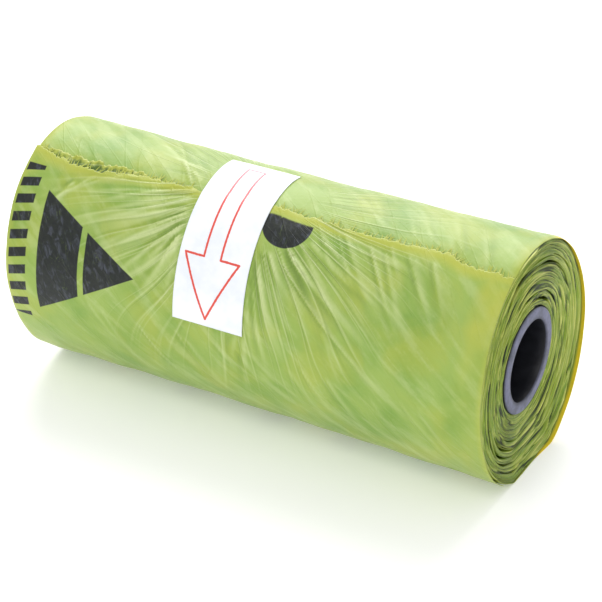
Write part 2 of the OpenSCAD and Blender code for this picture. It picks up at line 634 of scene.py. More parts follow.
# %% [markdown]
# ## The spiral
#
# All the film follows one spiral, so its shape is written once. A place on the strip is an angle that
# starts at the torn end and grows as the strip runs inwards, turn after turn. The roll isn't quite
# round: it is squeezed a little from the sides, and it is flat where it rests. Both are one stretch
# factor, the same for all turns at one angle, so neighbours never cross. The same formulas are
# needed on arrays, for the sheets made in mesh code, and on node values, for the wound turns.

# %% Formulas that work on arrays and on node values
def sine(degrees):
    """Sine of an angle in degrees."""
    turned = degrees * (math.pi / 180)
    return turned.sin() if isinstance(turned, Value) else np.sin(turned)


def cosine(degrees):
    """Cosine of an angle in degrees."""
    return sine(degrees + 90.0)


def least(a, b):
    """The smaller of two at each place."""
    return a.least(b) if isinstance(a, Value) else np.minimum(a, b)


def most(a, b):
    """The larger of two at each place."""
    return a.most(b) if isinstance(a, Value) else np.maximum(a, b)


# %% The shape of the roll
PRINT_DRIFT = 1.3     # how far askew the print and label run round the roll, in mm
DRIFT_FROM = 35.0     # the angle at which they are straight
OVAL = 0.06           # share by which the turns are looser at top and bottom than at the sides
OVAL_AT = 8.0         # direction of the long side
OVAL_FROM = 0.4       # it grows oval from here left of the middle, as a share of half the length
WAIST = 0.22          # the roll is a little thinner at mid-length, in mm
TILT_SIDE = 0.15, -0.25   # how far the sides lie out of square, in mm: at mid-length, and what the
TILT_TOP = 0.78, -0.31    # right end adds to it. The second line is for the top and bottom
LEAST_FACING = 0.05   # how little a place may face down and still be kept off the floor
floor_depth = -roll_low.z / MM


def strip_angle(length):
    """Angle in degrees at a length in mm from the torn end."""
    left = bag_len * len(bag_names) - length
    return torn_a + 360 * (all_turns - turns_at(left))


def strip_radius(a):
    """Radius in mm of the strip's outer face at angle a on a perfectly round roll."""
    return a * (-strip_t / 360) + (outer_r + strip_t * torn_a / 360)


def stretch(x, a):
    """How much wider than round the turns lie at a place: above 1 is looser, below 1 is tighter."""
    near = least(most(x * (1 / half_len) + OVAL_FROM, 0.0), 1.0 + OVAL_FROM) * (1 / (1.0 + OVAL_FROM))
    oval = cosine((a - OVAL_AT) * 2.0) * near * OVAL + 1.0
    below = most(cosine(a - 180.0), LEAST_FACING)
    limit = (floor_depth / below - first_r) * (1 / (outer_r - first_r))
    return least(oval, limit)


def rolled(r, x, a):
    """The radius in mm at which a turn of round radius r really lies."""
    waist = (x * (1 / half_len)) * (x * (1 / half_len)) * WAIST - WAIST
    share = (r - first_r) * (1 / (outer_r - first_r))
    return (r - first_r) * stretch(x, a) + first_r + waist * share


def above_floor(r, a):
    """Keeps a radius from reaching through the floor the roll lies on."""
    return np.minimum(r, floor_depth / np.maximum(cosine(a - 180.0), LEAST_FACING))


def tilt(x, a, share=1.0):
    """Shift along the roll in mm: it lies a little out of square, and most so on the outer turn."""
    end = x * (1 / half_len)
    sideways = sine(a) * (end * TILT_SIDE[1] + TILT_SIDE[0])
    upwards = cosine(a) * (end * TILT_TOP[1] + TILT_TOP[0])
    return (sideways - upwards) * share * share


def print_drift(a):
    """Shift along the roll in mm of what is printed or glued on the film, which runs askew."""
    return np.sin(np.radians(a - DRIFT_FROM)) * PRINT_DRIFT


last_a = strip_angle(bag_len * len(bag_names))
print("strip runs from", round(torn_a), "to", round(last_a), "degrees")

# %% [markdown]
# ## Wound turns
#
# Nearly all of the film is never seen except as edges: some ninety turns whose folded rims fill both
# ends of the roll. They could be drawn as rings in a picture, but the rims are what makes a roll look
# wound, so each bag is a real strip here. A strip follows a rule, which is what Geometry Nodes is good
# at: a grid becomes a long flat tube, bent round by the spiral formula. A repeat zone then opens kinks,
# where a few turns stand off from those below, and noise pushes the rims in and out in bundles.

# %% Helpers for Geometry Nodes
def add(tree, kind, links=(), **settings):
    """A node with its settings, and links as (input name, socket, Value or number) pairs."""
    made = tree.nodes.new(kind)
    for name, value in settings.items():
        setattr(made, name, value)
    for name, term in links:
        feed(tree, term, made.inputs[name])
    return made


def store(tree, geometry, name, kind, term):
    """Stores a named point attribute and returns the geometry socket."""
    made = add(tree, "GeometryNodeStoreNamedAttribute", [("Geometry", geometry)], data_type=kind)
    made.inputs["Name"].default_value = name
    feed(tree, term, made.inputs["Value"])
    return made.outputs["Geometry"]


def stored(tree, label):
    """A number stored on the points, as a Value."""
    made = add(tree, "GeometryNodeInputNamedAttribute", data_type="FLOAT")
    made.inputs["Name"].default_value = label
    return Value(tree, made.outputs["Attribute"])


def finished(tree, geometry_out, finish_socket, smooth=True):
    """The usual end of a tree: realized, shaded and with its finish."""
    real = add(tree, "GeometryNodeRealizeInstances", [("Geometry", geometry_out)])
    shade = add(tree, "GeometryNodeSetShadeSmooth", [("Geometry", real.outputs[0])])
    shade.inputs["Shade Smooth"].default_value = smooth
    made = add(tree, "GeometryNodeSetMaterial", [("Geometry", shade.outputs[0])])
    tree.links.new(finish_socket, made.inputs["Material"])
    return made.outputs[0]


def grown(name, tree, base=None, **sizes):
    """Runs a Geometry Nodes tree on a new object and returns the result as a plain mesh object."""
    carrier = bpy.data.objects.new(name + "_carrier", base or bpy.data.meshes.new(name))
    bpy.context.scene.collection.objects.link(carrier)
    modifier = carrier.modifiers.new(name, "NODES")
    modifier.node_group = tree
    items = [item for item in tree.interface.items_tree if item.in_out == "INPUT"]
    sockets = {item.name: item.identifier for item in items}
    for label, value in sizes.items():
        modifier[sockets[label.replace("_", " ")]] = value
    graph = bpy.context.evaluated_depsgraph_get()
    graph.update()
    mesh = bpy.data.meshes.new_from_object(carrier.evaluated_get(graph), depsgraph=graph)
    mesh.name = name
    bpy.data.objects.remove(carrier)
    made = bpy.data.objects.new(name, mesh)
    bpy.context.scene.collection.objects.link(made)
    return made


# %% The wound strip: a flat tube
RIM_POINTS = 17        # points round the flat tube, the last on the first
STEP_MM = 0.55         # distance between rings of points along the strip
DRAWN_T = 0.079        # thickness drawn, which leaves no slit between pressed turns
SIDE_BLUNT, FACE_BLUNT = 0.03, 0.25   # the smaller the number, the squarer the tube's outline


def signed_power(value, exponent):
    """Keeps the sign and takes the power of the size."""
    return value.size().power(exponent) * value.math("SIGN")


def flat_tube(tree, size):
    """A grid as a strip: its rows run along the strip, and each row runs round the flat tube."""
    grid = add(tree, "GeometryNodeMeshGrid", [("Vertices Y", size("Rings"))])
    grid.inputs["Vertices X"].default_value = RIM_POINTS
    place = add(tree, "GeometryNodeInputPosition").outputs[0]
    split = add(tree, "ShaderNodeSeparateXYZ", [("Vector", place)])
    around = (Value(tree, split.outputs[0]) + 0.5) * (2 * math.pi)
    along = Value(tree, split.outputs[1]) + 0.5
    angle = along * (size("Last angle") - size("First angle")) + size("First angle")
    taper = (along * (1.0 - along) * 400.0).least(1.0)       # thin at its first and last row
    side = signed_power(around.cos(), SIDE_BLUNT)
    face = signed_power(around.sin(), FACE_BLUNT) * taper
    geometry = grid.outputs["Mesh"]
    for name, value in (("angle", angle), ("side", side), ("face", face), ("lift", 0.0)):
        geometry = store(tree, geometry, name, "FLOAT", value)
    return geometry


# %% The wound strip: kinks
KINK_SPREAD = 80.0     # kinks lie this far to either side of the long side, in degrees
KINK_WIDTH = 20.0, 52.0   # from the middle of a kink to where it ends, in degrees
KINK_FADE = 5.0, 24.0  # turns over which kinks die out towards the outside
KINK_FROM_TURN = 7.0   # no kink starts further out than this


def open_kinks(tree, size, geometry):
    """A repeat zone that opens one kink in each pass: the turns outside it stand off, less and less."""
    repeat_in = tree.nodes.new("GeometryNodeRepeatInput")
    repeat_out = tree.nodes.new("GeometryNodeRepeatOutput")
    repeat_in.pair_with_output(repeat_out)
    feed(tree, size("Kinks"), repeat_in.inputs["Iterations"])
    tree.links.new(geometry, repeat_in.inputs["Geometry"])
    kink = Value(tree, repeat_in.outputs["Iteration"])

    def chance(low, high, shift):
        """A number between two that differs from pass to pass."""
        made = add(tree, "FunctionNodeRandomValue", [("ID", kink), ("Seed", size("Seed") + shift)])
        for socket, limit in zip(made.inputs[2:4], (low, high)):  # the pair for plain numbers
            socket.default_value = limit
        return Value(tree, made.outputs[1])

    angle = stored(tree, "angle")
    opposite = (kink * 0.5).math("FRACT") * 360.0            # every other kink, half a turn round
    kink_a = size("Kink angle") + opposite + chance(-KINK_SPREAD, KINK_SPREAD, 1)
    depth = chance(KINK_FROM_TURN, all_turns - 4.0, 2).math("FLOOR")
    width = chance(*KINK_WIDTH, 3)
    height = chance(0.35, 1.0, 4) * size("Kink height")
    away = angle - kink_a
    inward = away * (1 / 360) - depth
    off = (away * (1 / 360) + 0.5).math("FRACT") * 360.0 - 180.0
    peak = (1.0 - off.size() / width).most(0.0).power(1.4)
    outer_side = 1.0 - inward.step(0.3, 0.7)
    settle = (inward * (1 / 14.0)).least(0.0).math("EXPONENT")
    outer_fade = ((angle - torn_a) * (1 / 360)).step(*KINK_FADE)
    lift = stored(tree, "lift") + peak * outer_side * settle * height * outer_fade
    lifted = store(tree, repeat_in.outputs["Geometry"], "lift", "FLOAT", lift)
    tree.links.new(lifted, repeat_out.inputs["Geometry"])
    return repeat_out.outputs["Geometry"]


# %% The wound strip: bundles
BUNDLE_WANDER = 4.0    # how many bundles a groove may cross on its way round
GROOVE_EDGES = 0.64, 0.82   # where a bundle turns into a groove, from its middle at 0 to 1
CREST_PLACE = 0.27     # where the pale crest lies in a bundle, from 0 to 1


def bundles(tree, size, angle, turns):
    """The turns lie in bundles, differently at either end. Returns two Values: crest, which is near 1
    where a bundle gets a painted highlight and 0 in the painted shade of the grooves between two, and
    how unevenly the rims lie."""
    near_side = stored(tree, "side").step(-0.2, 0.2)
    ring = vector(tree, cosine(angle) * 0.8, sine(angle) * 0.8, turns * 0.09 + near_side * 7.0)
    fine_ring = vector(tree, cosine(angle) * 0.9, sine(angle) * 0.9, turns * 0.55 + near_side * 7.0)
    phase = turns / size("Bundle turns") + (grain(tree, ring, 1.0, 1.0) - 0.5) * BUNDLE_WANDER
    in_bundle = phase.math("FRACT")
    groove = (in_bundle * 2.0 - 1.0).size().step(*GROOVE_EDGES)
    below_wrap = (1.0 - (turns - 2.0).size() * 0.9).clamped()
    ridge = (1.0 - (in_bundle - CREST_PLACE).size() * 8.0).clamped()
    groove_depth = grain(tree, fine_ring, 1.0, 0.0).step(0.35, 0.62) * 0.35 + 0.65
    toned = (grain(tree, fine_ring, 1.6, 0.0) - 0.5) * 0.8
    crest = (ridge * 0.35 + 0.5 + toned).clamped() * (1.0 - groove * groove_depth)
    # painted shade: the crests darken just under the outer turn and towards the front of the roll
    crest = crest * (1.0 - below_wrap * 0.85) * (1.0 - sine(angle).clamped() * 0.2)
    return crest, (grain(tree, ring, 1.7, 0.0) - 0.5) * 2.5


# %% The wound strip: the spiral
END_DISH = 0.75        # the inner turns end a little short of the outer ones, in mm
SLACK = 0.06           # the most that a kink lifts the film, in mm for each turn outside it
TIGHT = 0.42           # the outer turns lie this much lower at mid-length, in mm


def wound_strip_tree():
    """A bag's strip as a flat tube on the spiral, from one strip angle to another."""
    tree, given, result = new_group(
        "GeometryNodeTree", "Wound strip",
        [("First angle", "NodeSocketFloat", 0.0), ("Last angle", "NodeSocketFloat", 360.0),
         ("Rings", "NodeSocketInt", 500), ("Thickness", "NodeSocketFloat", DRAWN_T),
         ("Half length", "NodeSocketFloat", 30.0), ("Bundle depth", "NodeSocketFloat", 1.0),
         ("Bundle turns", "NodeSocketFloat", 6.0),
         ("Kinks", "NodeSocketInt", 20), ("Kink height", "NodeSocketFloat", 0.3),
         ("Kink angle", "NodeSocketFloat", 0.0), ("Seed", "NodeSocketInt", 0),
         ("Finish", "NodeSocketMaterial", None)],
        [("Geometry", "NodeSocketGeometry", None)],
    )

    def size(name):
        """One of the tree's own inputs."""
        return Value(tree, given.outputs[name])

    geometry = open_kinks(tree, size, flat_tube(tree, size))
    angle, side = stored(tree, "angle"), stored(tree, "side")
    turns = (angle - torn_a) * (1 / 360)
    share = (strip_radius(angle) - first_r) * (1 / (outer_r - first_r))   # 0 at the core, 1 outside
    crest, uneven = bundles(tree, size, angle, turns)
    geometry = store(tree, geometry, "crest", "FLOAT", crest)
    dish = (1.0 - share) * END_DISH
    depth = size("Bundle depth") * (share.clamped() * 0.7 + 0.3)
    reach = size("Half length") - dish + (crest - 0.8 + uneven * share.clamped()) * depth
    x = side * reach
    round_r = strip_radius(angle) - strip_t / 2
    slack = (turns - 1.5).most(0.0) * SLACK
    tight = (1.0 - side.size()) * share * TIGHT
    radius = rolled(round_r, x, angle) - tight + stored(tree, "lift").least(slack)
    radius = radius + stored(tree, "face") * size("Thickness") * 0.5
    across, upright = radius * sine(angle) * -MM, radius * cosine(angle) * MM
    spot = vector(tree, (x + tilt(x, angle, share)) * MM, across, upright)
    placed = add(tree, "GeometryNodeSetPosition", [("Geometry", geometry), ("Position", spot)])
    strip = vector(tree, x, angle * (math.pi / 180 * 10.0), 0.0)
    marked = store(tree, placed.outputs[0], "strip_mm", "FLOAT_VECTOR", strip)
    merged = add(tree, "GeometryNodeMergeByDistance", [("Geometry", marked)])
    merged.inputs["Distance"].default_value = 0.001 * MM
    tree.links.new(finished(tree, merged.outputs[0], given.outputs["Finish"]), result.inputs["Geometry"])
    return tree


# %% One strip for each bag
ROLL_SEED = 4
WRAP_END_A = 500.0     # the outer turn's own sheet reaches in to here
TEAR_LINE_A = 0.4      # the tear line between two bags, in degrees
FEWEST_RINGS = 8
wound_strip = wound_strip_tree()


def wound_bag(name, first_a, last_a):
    """One bag's strip. All bags share the seed, so kinks and bundles run on from bag to bag."""
    length = math.radians(last_a - first_a) * strip_radius((first_a + last_a) / 2)
    return grown(
        name, wound_strip,
        First_angle=first_a, Last_angle=last_a, Rings=max(FEWEST_RINGS, round(length / STEP_MM)),
        Half_length=half_len, Bundle_depth=0.3, Bundle_turns=10.5, Kinks=34, Kink_height=0.46,
        Kink_angle=OVAL_AT, Seed=ROLL_SEED, Finish=wound_film,
    )


bags = {}
for index, node in enumerate(bag_names):
    first_a = max(strip_angle(bag_len * index), WRAP_END_A) + TEAR_LINE_A
    last_a = strip_angle(bag_len * (index + 1))
    piece_name = node if index else node + "_inner_turns"
    bags[node] = wound_bag(piece_name + "_film", first_a, last_a)
    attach(bags[node], "roll")
    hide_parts(node)
print("wound bags:", len(bags), "faces:", sum(len(o.data.polygons) for o in bags.values()))

# %% [markdown]
# ## Creases
#
# A label glued over the torn end pulls the film, and creases run away from it like rays. Each fan of
# creases is given by where it starts, which way it points and how long it is, at its first and last
# ray, and the rays between them follow with a little chance. A ray is a low ridge with a valley at
# its side. The ridges are real geometry, so they catch light from any side and bend with the sheet.

# %% Fans of creases
class Fan:
    """Rays of creases. Each pair gives a value at the first and at the last ray."""

    def __init__(self, x, a, heading, length, rays, height, bow=0.012):
        self.x, self.a, self.heading, self.length = x, a, heading, length
        self.rays, self.height, self.bow = rays, height, bow

    def creases(self, chance):
        """Each ray as (x, s, heading, length, height, width, bow), a little varied by chance."""
        for ray in range(self.rays):
            t = (ray + chance.uniform(-0.45, 0.45)) / max(1, self.rays - 1)
            x, a, heading, length = (
                low + (high - low) * t for low, high in (self.x, self.a, self.heading, self.length)
            )
            yield (x + chance.uniform(-0.4, 0.4), arc_mm(a) + chance.uniform(-0.5, 0.5),
                   math.radians(heading + chance.uniform(-5, 5)), length * chance.uniform(0.45, 1.1),
                   self.height * chance.uniform(0.4, 1.0), chance.uniform(0.16, 0.34),
                   chance.uniform(-self.bow, self.bow))


FREE_END_FANS = (
    Fan(x=(-8.7, -8.9), a=(20, 52), heading=(168, 100), length=(17.0, 6.0), rays=20, height=0.16),
    Fan(x=(-16.0, -24.0), a=(22, 30), heading=(170, 120), length=(7.0, 9.0), rays=7, height=0.08),
    Fan(x=(0.3, 1.4), a=(66, 38), heading=(92, 62), length=(12.0, 13.0), rays=11, height=0.13),
    Fan(x=(1.6, 7.4), a=(41, 28), heading=(58, 26), length=(13.0, 16.0), rays=11, height=0.12),
    Fan(x=(3.4, 4.6), a=(41, 39), heading=(39, 36), length=(27.0, 29.0), rays=2, height=0.45,
        bow=0.001),
    Fan(x=(7.0, 20.0), a=(22, 24), heading=(52, 62), length=(13.0, 9.0), rays=11, height=0.10),
    Fan(x=(-20.0, 22.0), a=(88, 92), heading=(58, 62), length=(12.0, 14.0), rays=13, height=0.06),
)
WRAP_FANS = (
    Fan(x=(-9.2, -9.0), a=(17, 17), heading=(231, 231), length=(19.0, 19.0), rays=1, height=0.30),
    Fan(x=(-8.8, -9.4), a=(16, 12), heading=(238, 214), length=(13.0, 16.0), rays=4, height=0.08),
    Fan(x=(26.5, 12.0), a=(21, 12), heading=(248, 228), length=(8.0, 12.0), rays=7, height=0.09),
    Fan(x=(-26.0, 26.0), a=(-30, -40), heading=(250, 290), length=(16.0, 20.0), rays=12, height=0.06),
    Fan(x=(-27.0, 27.0), a=(-145, -210), heading=(70, 100), length=(20.0, 16.0), rays=16, height=0.09),
    Fan(x=(-25.0, 27.0), a=(-70, -100), heading=(255, 235), length=(14.0, 20.0), rays=10, height=0.08),
)


def crease_relief(x, s, fans, seed):
    """Height in mm of all the rays of some fans, and a mark from -1 in the valleys to 1 on ridges."""
    height, mark = np.zeros_like(x), np.zeros_like(x)
    chance = random.Random(seed)
    for fan in fans:
        for x0, s0, heading, length, high, wide, bow in fan.creases(chance):
            away_x, away_s = x - x0, s - s0
            along = away_x * math.cos(heading) + away_s * math.sin(heading)
            across = away_s * math.cos(heading) - away_x * math.sin(heading) - bow * along**2
            t = np.clip(along / length, 0.0, 1.0)
            fade = np.clip(t * 12.0, 0, 1) * (1.0 - t) ** 0.8 * (along > 0)
            broad = wide * (0.75 + 0.9 * t)
            ridge = np.exp(-((across / broad) ** 2))
            valley = np.exp(-(((across - 1.7 * broad) / broad) ** 2))
            height += high * fade * (ridge - 0.55 * valley)
            mark += fade * (ridge - valley) * min(1.0, high / 0.12)
    return height, np.clip(mark, -1.0, 1.0)


def rumple(x, s, pitch, seed, waves=14):
    """Soft unevenness from 0 to 1, as a sum of sine waves that run in all directions."""
    chance = random.Random(seed)
    total = np.zeros_like(x)
    for _ in range(waves):
        heading, phase = chance.uniform(0, math.pi), chance.uniform(0, 2 * math.pi)
        size = pitch * chance.uniform(0.6, 1.7)
        total += np.sin((x * math.cos(heading) + s * math.sin(heading)) * (2 * math.pi / size) + phase)
    return np.clip(0.5 + total / (2.2 * math.sqrt(waves)), 0.0, 1.0)


print("rays:", sum(fan.rays for fan in FREE_END_FANS + WRAP_FANS))

# %% [markdown]
# ## Sheets of film
#
# The outer turn and the free end are what one sees, so they are made in mesh code at a fifth to a half of
# a millimetre a cell: a grid of places on the roll, its copy one thickness inwards, and a rim that
# closes the two. Attributes go with each point and tell the finish what is there. strip_mm is its
# place on the film, fold tells ridge from valley for a painted highlight and painted shade, and rim
# grows where the film is stretched thin and yellow, by the tear and at the folded end. Some sheets
# also carry lit, painted light where light would shine through the edge, shade, painted shade under
# the tear, and bare, where the print has gone.

# %% A thin closed sheet from a grid of places
FILM_DRAWN_T = 0.05    # thickness of the sheets in mm
SHEET_SHORT = 0.02     # they end this much short of the roll's ends


def on_roll(r, x, a):
    """Places in mm, as an array, at real radius r, x along the roll and angle a."""
    turned = np.radians(a)
    return np.stack([x + tilt(x, a), -r * np.sin(turned), r * np.cos(turned)], axis=-1)


def thin_sheet(name, outer, inner, finish, vectors=(), numbers=()):
    """A mesh object from two grids of places in mm. vectors and numbers are (name, grid) attributes."""
    rows, columns = outer.shape[:2]
    count = rows * columns
    order = np.arange(count).reshape(rows, columns)
    corners = [order[:-1, :-1], order[:-1, 1:], order[1:, 1:], order[1:, :-1]]
    face = np.stack([corner.ravel() for corner in corners], axis=1)
    rim = np.concatenate([order[0], order[1:, -1], order[-1, -2::-1], order[-2:0:-1, 0]])
    after = np.roll(rim, -1)
    edge = np.stack([rim, rim + count, after + count, after], axis=1)
    faces = np.concatenate([face, face[:, ::-1] + count, edge])
    places = np.concatenate([outer.reshape(-1, 3), inner.reshape(-1, 3)]) * MM
    first, second, third, fourth = (places[faces[:, i]] for i in range(4))
    volume = np.einsum("ij,ij->i", first, np.cross(second, third) + np.cross(third, fourth)).sum()
    if volume < 0:
        faces = faces[:, ::-1]
    mesh = bpy.data.meshes.new(name)
    mesh.from_pydata(places.tolist(), [], faces.tolist())
    mesh.polygons.foreach_set("use_smooth", [True] * len(mesh.polygons))
    for label, kind, field, grid in (
        *((label, "FLOAT_VECTOR", "vector", grid.reshape(-1, 3)) for label, grid in vectors),
        *((label, "FLOAT", "value", grid.reshape(-1)) for label, grid in numbers),
    ):
        made = mesh.attributes.new(label, kind, "POINT")
        made.data.foreach_set(field, np.concatenate([grid, grid]).astype(np.float32).ravel())
    mesh.materials.append(finish)
    mesh.update()
    made = bpy.data.objects.new(name, mesh)
    bpy.context.scene.collection.objects.link(made)
    print(name, "faces:", len(mesh.polygons), "closed volume mm3:", round(abs(volume) / 6 / MM**3, 1))
    return made


def strip_x(x, a):
    """Place across the printed strip, in mm, of what lies at x along the roll."""
    return x + tilt(x, a) - print_drift(a)


def strip_places(x, a):
    """The place on the film as the materials read it: across the strip and arc length, in mm."""
    return np.stack([strip_x(x, a), arc_mm(a), np.zeros_like(x)], axis=-1)


# %% Helpers for the sheets
LABEL_X, LABEL_HALF_W = -4.0, 4.4
LABEL_FROM_A, LABEL_TO_A = label_top_a, peel_a
LABEL_SOFT = 0.7       # over this width, in mm, the film rises again beside the label


def smooth_step(t):
    """0 below 0, 1 above 1 and smooth between them."""
    t = np.clip(t, 0.0, 1.0)
    return t * t * (3.0 - 2.0 * t)


def under_label(x, s):
    """1 under the label, 0 away from it."""
    sideways = LABEL_HALF_W + LABEL_SOFT - np.abs(strip_x(x, s / arc_mm(1.0)) - LABEL_X)
    middle, half = arc_mm((LABEL_FROM_A + LABEL_TO_A) / 2), arc_mm((LABEL_TO_A - LABEL_FROM_A) / 2)
    lengthways = half + LABEL_SOFT - np.abs(s - middle)
    return smooth_step(np.minimum(sideways, lengthways) / LABEL_SOFT)


def from_end(x, width):
    """0 away from both ends of the roll, 1 at them, over a width in mm."""
    return np.clip((np.abs(x) - (half_len - width)) / width, 0.0, 1.0)


def end_columns(columns, crowd=1.35):
    """Places along the roll from end to end, closer together at both ends."""
    t = np.linspace(-1.0, 1.0, columns)
    return np.sign(t) * (1.0 - (1.0 - np.abs(t)) ** crowd) * (half_len - SHEET_SHORT)


END_RIM_W, END_RIM_DROP = 0.7, 0.16   # width and depth of the rolled-in ends, in mm


def end_rim(x):
    """How far the folded ends roll in, as a drop in mm."""
    return from_end(x, END_RIM_W) ** 2 * END_RIM_DROP


def outer_face(x, a):
    """Radius of the roll's outer face, at the level of the torn end."""
    return rolled(strip_radius(torn_a) + 0.0 * a, x, a)


# %% The outer turn
WRAP_FROM_A = 140.0
TOP_FROM_A, TOP_TO_A = 300.0, 408.0      # the stretch on top, which gets the closest rows
OVERHANG = 0.38        # the outer turn stands out past the others at the back of one end, in mm
BACK_FROM_A, BACK_TO_A = 182.0, 360.0    # where it does
WRAP_ROWS = (          # from angle, to angle, step
    (WRAP_FROM_A, TOP_FROM_A, 1.9),
    (TOP_FROM_A, TOP_TO_A, 1.05),
    (TOP_TO_A, WRAP_END_A - 1.9, 2.6),
)
wrap_a = np.concatenate([np.arange(*rows) for rows in WRAP_ROWS] + [[WRAP_END_A]])
a, x = np.meshgrid(wrap_a, end_columns(210), indexing="ij")
s = arc_mm(a - 360.0)                    # fans are placed from the top, one turn further out
relief, fold = crease_relief(x, s, WRAP_FANS, seed=11)
relief = relief + rumple(x, s, 7.0, 3) * 0.10 + rumple(x, s, 2.6, 4) * 0.03
tucked = smooth_step((a - 372.0) / 14.0)                  # under the free end it lies flat
tucked = np.maximum(tucked, under_label(x, s))
relief = np.maximum(relief * (1.0 - tucked), 0.0)
lap = 1.0 - smooth_step((a - WRAP_FROM_A - 12.0) / 12.0)  # it starts under the free end's root
lift_off = 0.09 * lap + 0.05 * smooth_step((a - (WRAP_END_A - 8.0)) / 8.0)
wrap_r = rolled(strip_radius(a), x, a) + relief - lift_off - end_rim(x)
rim = from_end(x, 1.3) * 0.7
back_side = smooth_step((a - BACK_FROM_A) / 24.0) * smooth_step((BACK_TO_A - a) / 120.0) ** 0.6
overhang = np.clip((x - (half_len - 3.0)) / 3.0, 0.0, 1.0) * back_side * OVERHANG
flare = overhang * 0.25
# painted light: the lit mask brightens the overhang's edge where light would shine through
lit = smooth_step((x - (half_len - 0.55)) / 0.25)         # the light shines through the overhang
lit = lit * smooth_step((a - BACK_FROM_A) / 10.0) * smooth_step((BACK_TO_A - 18.0 - a) / 14.0)
wrap_r = above_floor(wrap_r + flare, a)
outer_turn = thin_sheet(
    "bag_01_outer_turn", on_roll(wrap_r, x + overhang, a),
    on_roll(wrap_r - FILM_DRAWN_T, x + overhang, a), plain_film,
    vectors=[("strip_mm", strip_places(x, a - 360.0))],
    numbers=[("fold", fold * (1 - tucked)), ("rim", rim), ("lit", lit)],
)
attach(outer_turn, "roll")
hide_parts("bag_01")

# %% [markdown]
# ## The torn end
#
# The last bag was torn off along its perforation, and the film didn't part cleanly. It wavers, frays
# into short yellow ties where the perforation held, and at the left one of its plies tore further
# back. The edge line follows a few points, with small teeth on top, and everything that lies at the
# edge reads that one line: the free end, the ply below it, the ties and the wear of the print.

# %% The line of the tear
TORN_COURSE = (        # places on the film: x in mm and angle in degrees
    (-30.0, 20.0), (-26.9, 24.3), (-23.8, 26.7), (-21.0, 26.0), (-18.5, 23.4), (-15.5, 21.0),
    (-9.6, 20.0), (-4.0, 19.0), (1.1, 17.5), (4.0, 19.5), (7.0, 20.0), (13.5, 21.5),
    (18.0, 20.5), (21.6, 19.5), (24.2, 23.5), (30.0, 24.0),
)


def torn_edge(x):
    """Angle of the torn edge at x, without its teeth."""
    places, angles = zip(*TORN_COURSE)
    across = strip_x(x, 20.0)
    return sum(np.interp(across + shift, places, angles) for shift in (-0.9, -0.3, 0.3, 0.9)) / 4


def teeth(x, seed):
    """The edge's teeth in mm, from 0 to about 0.6."""
    coarse = rumple(x, x * 0.0, 2.4, seed, waves=9)
    fine = rumple(x, x * 0.0, 0.55, seed + 1, waves=9)
    return 0.32 * coarse + 0.26 * fine


def edge_gap(x):
    """How far the torn edge stands off the turn below, in mm."""
    left = np.exp(-(((x + 23.5) / 5.0) ** 2)) * 0.42
    right = np.exp(-(((x - 15.0) / 9.0) ** 2)) * 0.10
    return 0.06 + left + right + 0.07 * rumple(x, x * 0.0, 3.2, 21, waves=8)


end_angles = [round(float(torn_edge(end)), 1) for end in (-half_len, half_len)]
print("torn edge at both ends, in degrees:", end_angles)


# %% The free end: where it lies
FREE_END_TO_A = 150.0
t = np.linspace(0.0, 1.0, 172)[:, None] ** 1.12           # rows lie closer towards the tear
x = end_columns(268)[None, :] + t * 0.0
edge_a = torn_edge(x) - teeth(x, 31) / arc_mm(1.0)
a = edge_a + (FREE_END_TO_A - edge_a) * t
s = arc_mm(a)
from_edge = arc_mm(a - torn_edge(x))
relief, fold = crease_relief(strip_x(x, a), s, FREE_END_FANS, seed=7)
relief = relief + rumple(x, s, 8.0, 8) * 0.14 + rumple(x, s, 2.4, 9) * 0.03
pressed = under_label(x, s)
laid = smooth_step((a - 122.0) / 16.0)                    # near its root it runs into the strip
relief = np.maximum(relief, 0.0) * (1.0 - pressed)
gap = edge_gap(x) * np.exp(-np.maximum(from_edge, 0.0) / 1.1) * (1.0 - pressed)
free_r = outer_face(x, a) + relief + gap - end_rim(x) * (1.0 - laid)
free_r = above_floor(free_r - laid * (strip_t * (a - torn_a) / 360), a)
print("free end rows and columns:", free_r.shape, "highest crease", round(float(relief.max()), 2), "mm")

# %% The free end: how it is toned
pale = np.exp(-(((x + 13.0) / 5.5) ** 2) - ((a - 42.0) / 18.0) ** 2) * 0.4
fold = np.clip(fold + pale, -1.0, 1.0) * (1 - pressed)
thin_edge = np.clip(1.25 - from_edge / 1.05, 0.0, 1.0)
bare = np.clip(1.0 - from_edge / 0.9, 0.0, 1.0)           # the print is gone by the tear
rim = np.clip((x - (half_len - 3.6)) / 1.4, 0.0, 1.0) * (1.0 - 0.7 * smooth_step((a - 40.0) / 35.0))
rim = rim * (0.6 + 0.4 * rumple(x, s, 3.0, 12))
rim = np.maximum(rim, from_end(x, 1.0) * 0.7)
rim = np.maximum(rim, thin_edge)
print("share of the free end that is bare or yellow:", round(float((rim > 0.5).mean()), 3))

# %% The free end
ROOT_FROM_A, ROOT_TO_A = 117.0, 93.0     # two angles near the free end's root


def on_outline(a):
    """A point on the roll's outline at mid-length, in metres."""
    return point(0.0, -outer_r * math.sin(math.radians(a)), outer_r * math.cos(math.radians(a)))


free_end = thin_sheet(
    "bag_01_free_end_film", on_roll(free_r, x, a), on_roll(free_r - FILM_DRAWN_T, x, a), outer_film,
    vectors=[("strip_mm", strip_places(x, a))],
    numbers=[("fold", fold), ("rim", rim), ("bare", bare)],
)
on_outline(ROOT_FROM_A)
on_outline(ROOT_TO_A)
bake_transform(free_end)
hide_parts("bag_01_free_end")
free_length = arc_mm(FREE_END_TO_A - torn_a) * MM

